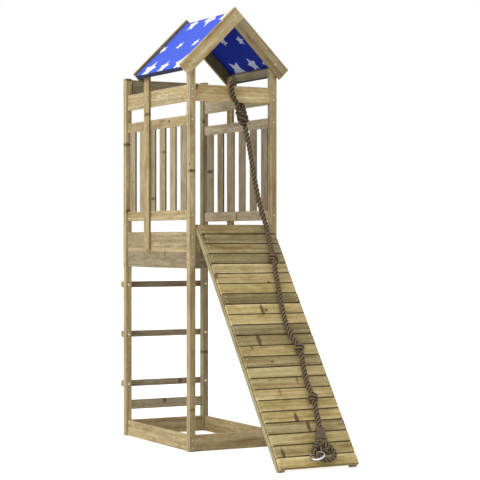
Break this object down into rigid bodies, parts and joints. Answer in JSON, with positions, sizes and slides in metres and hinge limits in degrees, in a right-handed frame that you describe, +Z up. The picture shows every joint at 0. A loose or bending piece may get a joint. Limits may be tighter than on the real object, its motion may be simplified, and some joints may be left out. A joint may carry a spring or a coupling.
{
  "type": "wooden climbing frame",
  "caption": "Wooden play tower with slatted railings, a gabled canvas roof, ladder rungs at the back and a plank ramp with a knotted climbing rope in front.",
  "frame": {"origin": "on the ground, at the middle of the outline seen from above", "axes": "+Z up, +Y from the ramp towards the ladder, +X to the right seen from the ramp"},
  "size_m": [0.576, 1.6029, 2.079],
  "materials": {
    "timber": "satin",
    "ramp_timber": "satin",
    "canvas": "matte",
    "rope": "matte",
    "sleeve": "satin",
    "steel": "satin",
    "zinc": "satin"
  },
  "bodies": {
    "root": {"post_front_left": "timber", "post_front_right": "timber", "post_back_left": "timber", "post_back_right": "timber", "base_board_front": "timber", "base_board_back": "timber", "base_board_left": "timber", "base_board_right": "timber", "back_cross_slat": "timber", "joist_front": "timber", "joist_back": "timber", "joist_left": "timber", "joist_right": "timber", "toe_board_left": "timber", "toe_board_right": "timber", "ramp_bearer": "timber", "top_rail_front": "timber", "top_rail_back": "timber", "top_rail_left": "timber", "top_rail_right": "timber", "mid_rail_left": "timber", "mid_rail_right": "timber", "lower_rail_left": "timber", "lower_rail_right": "timber", "slats_left": "timber", "slats_right": "timber", "rafter_front_left": "timber", "rafter_front_right": "timber", "rafter_back_left": "timber", "rafter_back_right": "timber", "ridge_batten": "timber", "eave_batten_left": "timber", "eave_batten_right": "timber", "roof_prop_left": "timber", "roof_prop_right": "timber", "floor_board_1": "timber", "floor_board_2": "timber", "floor_board_3": "timber", "floor_board_4": "timber", "floor_board_5": "timber", "floor_board_6": "timber", "floor_board_7": "timber", "floor_board_8": "timber", "ladder_rung_1": "timber", "ladder_rung_2": "timber", "ladder_rung_3": "timber", "ramp_stringer_left": "ramp_timber", "ramp_stringer_right": "ramp_timber", "ramp_planks": "ramp_timber", "roof_canvas": "canvas", "rope_loop": "rope", "rope_noose": "rope", "climbing_rope": "rope", "rope_knots": "rope", "rope_eye": "rope", "rope_sleeve": "sleeve", "rope_ring": "steel", "frame_screws": "zinc", "ramp_screws": "zinc", "rung_bolts": "zinc"}
  },
  "joints": []
}
